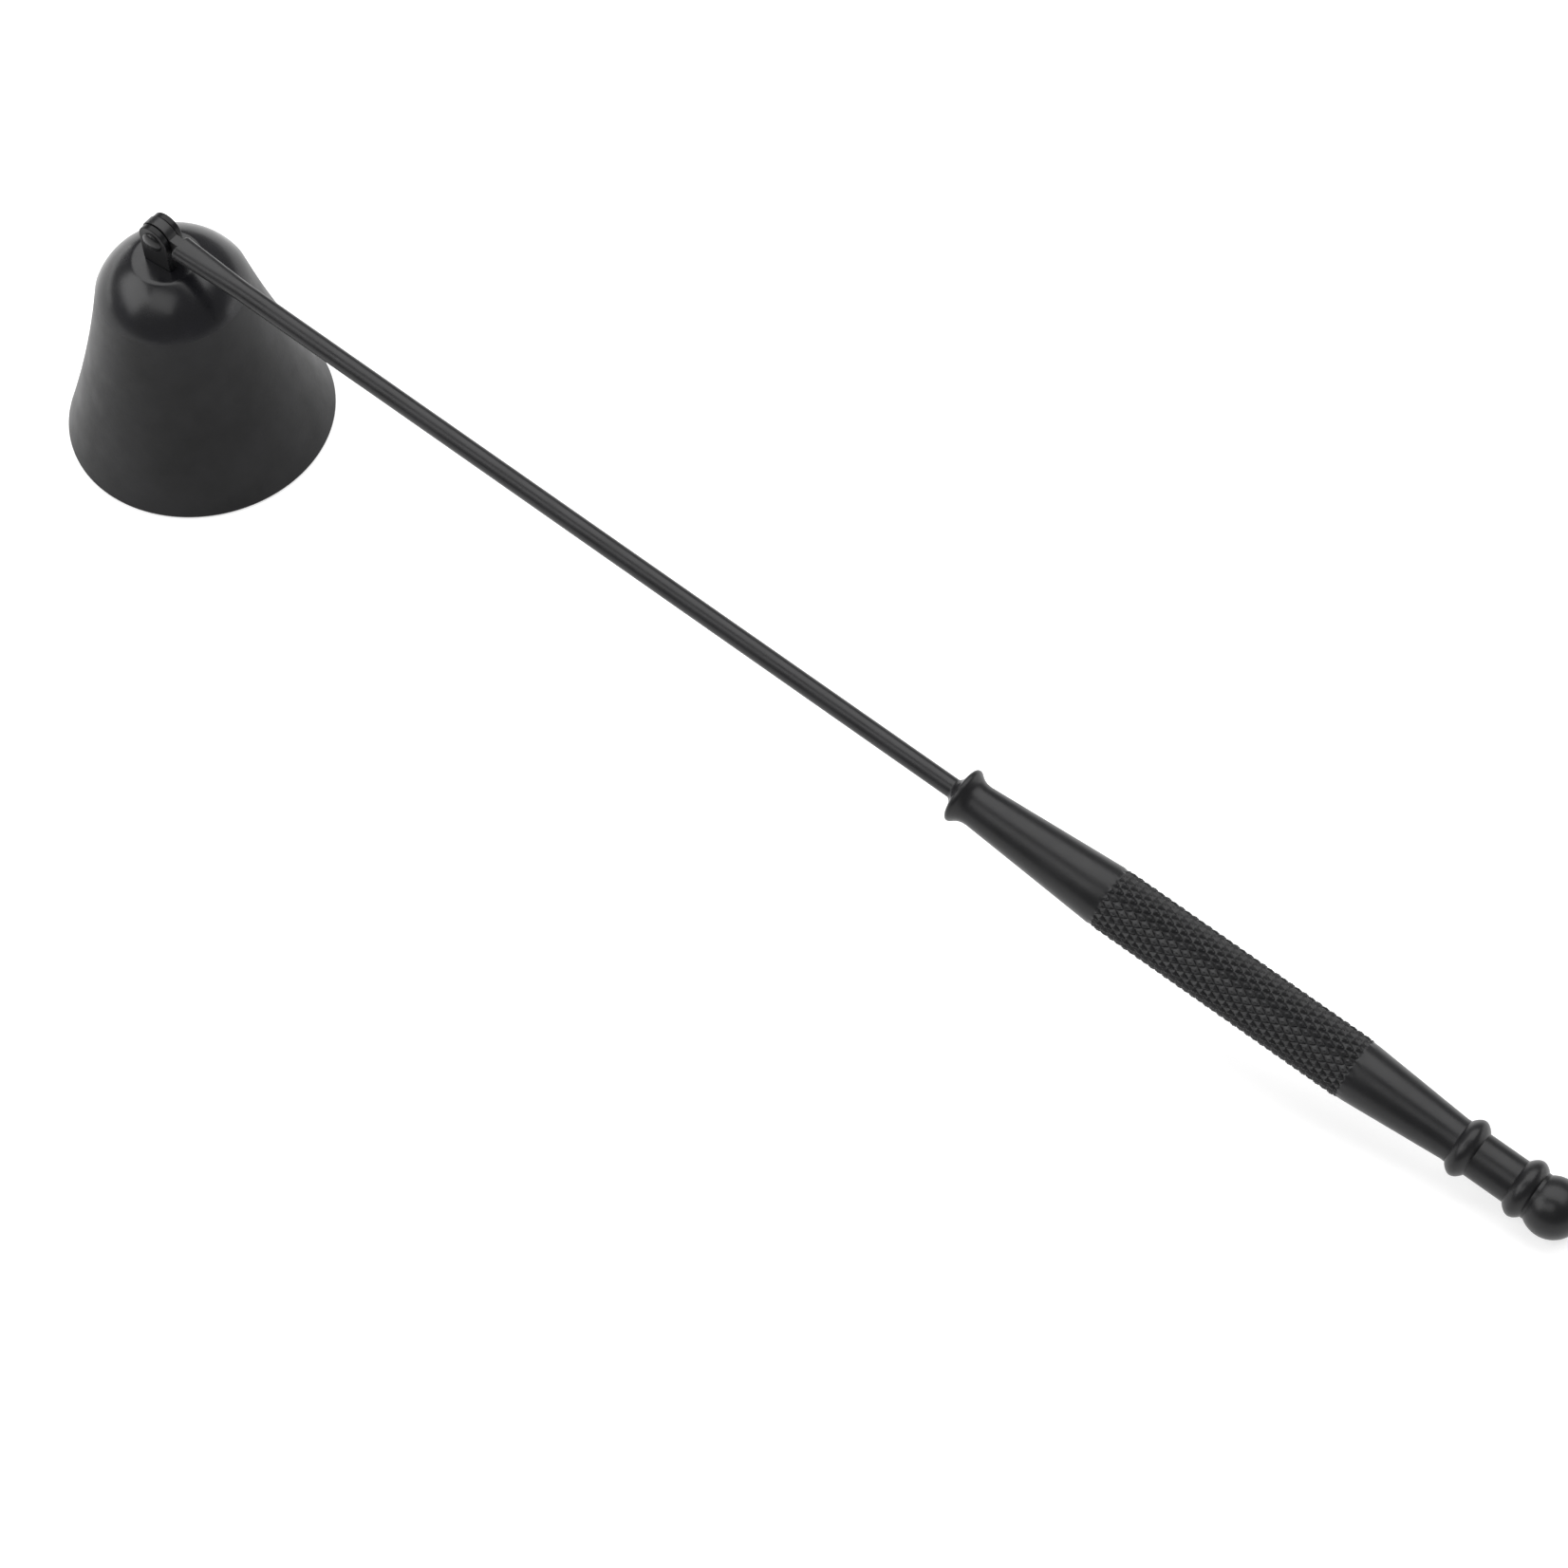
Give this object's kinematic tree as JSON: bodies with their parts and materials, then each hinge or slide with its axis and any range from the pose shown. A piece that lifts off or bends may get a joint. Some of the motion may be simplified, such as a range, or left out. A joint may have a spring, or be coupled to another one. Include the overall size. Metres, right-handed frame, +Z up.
{
  "type": "candle snuffer",
  "caption": "Hinged bell candle snuffer: flared sheet bell with a domed crown, clevis hinge, thin straight rod, and a turned handle with knurled grip, beads and ball end.",
  "frame": {"origin": "middle of the overall box, on the plane that the bell's rim and the ball end rest on", "axes": "+Z up, +X along the length from the bell to the ball end, Y along the hinge pin"},
  "size_m": [0.2264, 0.035, 0.0377],
  "materials": {
    "bell_black": "satin black coat",
    "bracket_black": "satin black coat",
    "pin_black": "satin black coat",
    "rod_black": "satin black coat",
    "handle_black": "satin black coat"
  },
  "bodies": {
    "bell_body": {"bell": "bell_black", "hinge_bracket": "bracket_black", "hinge_pin": "pin_black"},
    "handle_body": {"rod": "rod_black", "handle": "handle_black"}
  },
  "joints": [
    {"name": "bell_hinge", "type": "hinge", "parent": "bell_body", "child": "handle_body", "pos_m": [-0.09575, 0, 0.0353], "axis": [0, 1, 0], "range_deg": [-217, 20]}
  ]
}
